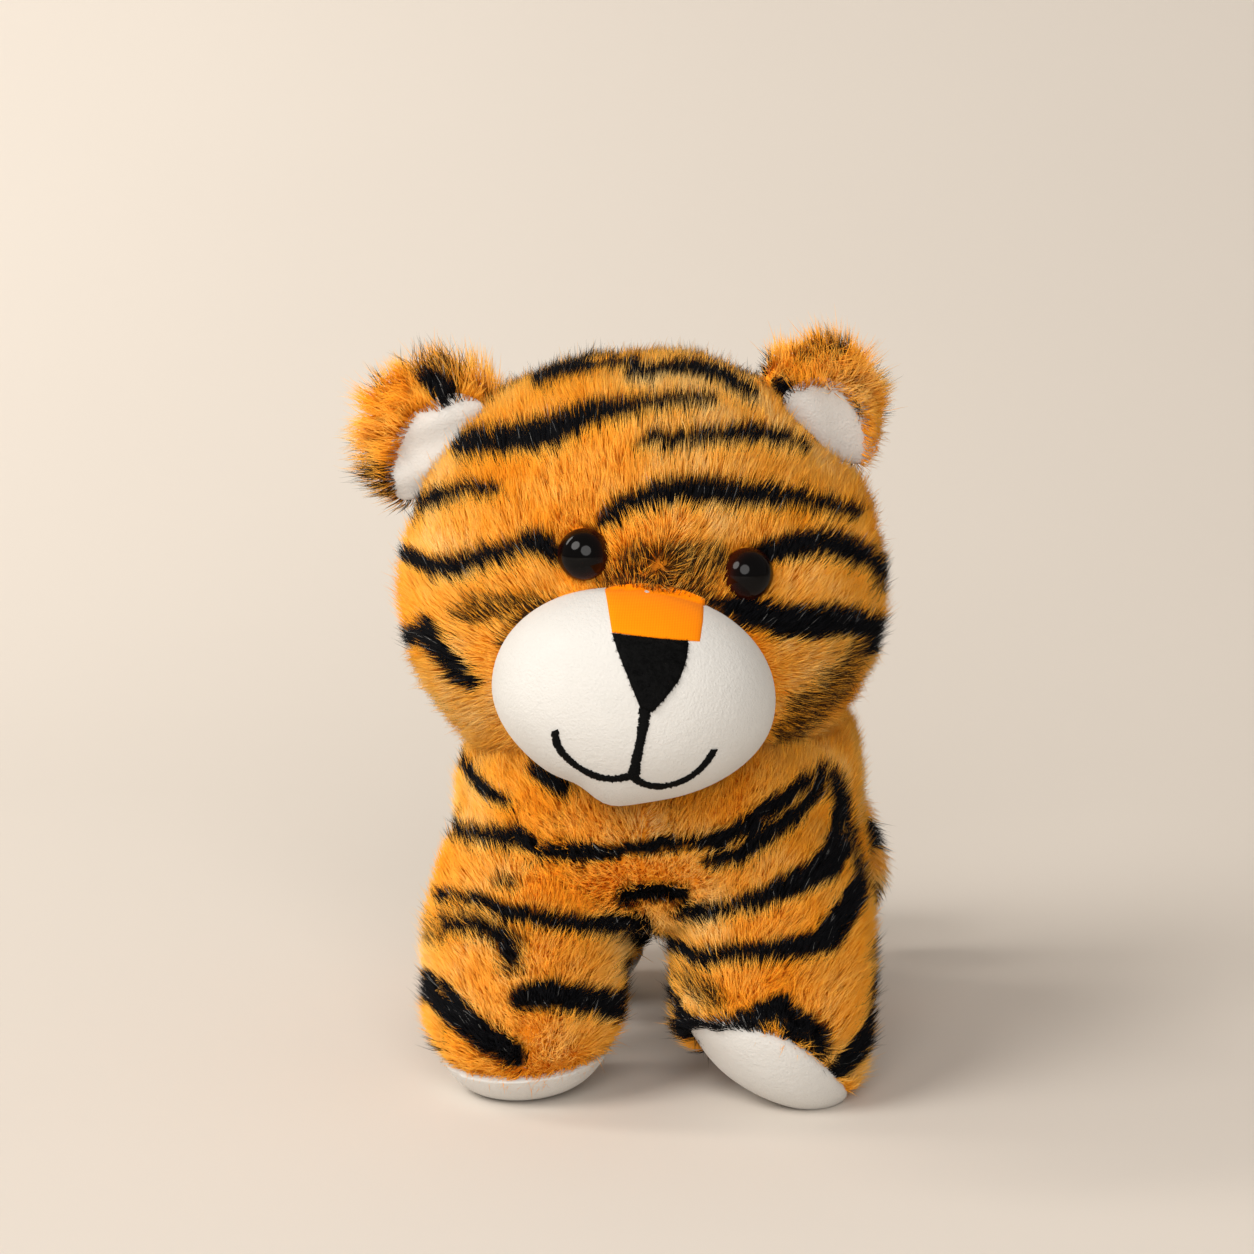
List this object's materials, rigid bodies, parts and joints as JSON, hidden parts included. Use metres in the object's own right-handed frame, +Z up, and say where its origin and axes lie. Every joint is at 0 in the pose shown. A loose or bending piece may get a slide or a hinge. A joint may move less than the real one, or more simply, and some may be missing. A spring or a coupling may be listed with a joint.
{
  "type": "standing plush tiger",
  "caption": "Stuffed standing tiger with striped fur, a smooth white muzzle, glossy eyes, lined ears, pale soles and a curved tail; its head turns and nods.",
  "frame": {"origin": "on the floor, under the middle of the toy's bounding box", "axes": "the toy faces -Y, its left side is +X and +Z is up"},
  "size_m": [0.1362, 0.2002, 0.1882],
  "materials": {
    "tiger_fur": "dense straight orange pile about 8 mm long with black stripes",
    "white_velboa": "warm white short-pile fabric",
    "orange_jersey": "smooth knitted fabric",
    "black_felt": "matt black felt",
    "eye_plastic": "polished near-black moulding, a little red-brown at the rim",
    "washer_plastic": "plain moulded washer, hidden in the head",
    "polyester_fibre": "loose white fibre filling"
  },
  "bodies": {
    "torso": {"body_cover": "tiger_fur", "body_filling": "polyester_fibre", "belly_gusset": "tiger_fur", "front_leg_right_cover": "tiger_fur", "front_leg_right_sole": "white_velboa", "front_leg_right_filling": "polyester_fibre", "front_leg_left_cover": "tiger_fur", "front_leg_left_sole": "white_velboa", "front_leg_left_filling": "polyester_fibre", "rear_leg_right_cover": "tiger_fur", "rear_leg_right_sole": "white_velboa", "rear_leg_right_filling": "polyester_fibre", "rear_leg_left_cover": "tiger_fur", "rear_leg_left_sole": "white_velboa", "rear_leg_left_filling": "polyester_fibre"},
    "neck": {"neck_filling": "polyester_fibre"},
    "head": {"head_cover": "tiger_fur", "head_filling": "polyester_fibre", "muzzle_cover": "white_velboa", "muzzle_filling": "polyester_fibre", "nose": "black_felt", "nose_bridge": "orange_jersey", "eye_right": "eye_plastic", "eye_left": "eye_plastic", "eye_washer_right": "washer_plastic", "eye_washer_left": "washer_plastic"},
    "ear_right": {"ear_back_right": "tiger_fur", "ear_lining_right": "white_velboa"},
    "ear_left": {"ear_back_left": "tiger_fur", "ear_lining_left": "white_velboa"},
    "tail": {"tail": "tiger_fur"}
  },
  "joints": [
    {"name": "head_turn", "type": "hinge", "parent": "torso", "child": "neck", "pos_m": [0.0038, -0.02714, 0.087], "axis": [0, 0, 1], "range_deg": [-25, 20], "stiffness_Nm_per_rad": 0.05},
    {"name": "head_nod", "type": "hinge", "parent": "neck", "child": "head", "pos_m": [0.0038, -0.02714, 0.087], "axis": [0.9962, 0.0872, 0], "range_deg": [-6, 6], "stiffness_Nm_per_rad": 0.3},
    {"name": "ear_fold_right", "type": "hinge", "parent": "head", "child": "ear_right", "pos_m": [-0.04466, -0.02737, 0.15896], "axis": [0.6679, -0.1844, 0.7211], "range_deg": [-20, 20], "stiffness_Nm_per_rad": 0.02},
    {"name": "ear_fold_left", "type": "hinge", "parent": "head", "child": "ear_left", "pos_m": [0.04632, -0.01941, 0.16541], "axis": [0.6749, 0.4351, -0.596], "range_deg": [-20, 20], "stiffness_Nm_per_rad": 0.02},
    {"name": "tail_swing", "type": "hinge", "parent": "torso", "child": "tail", "pos_m": [0.0068, 0.07286, 0.062], "axis": [0, 0, 1], "range_deg": [0, 65], "stiffness_Nm_per_rad": 0.01}
  ]
}
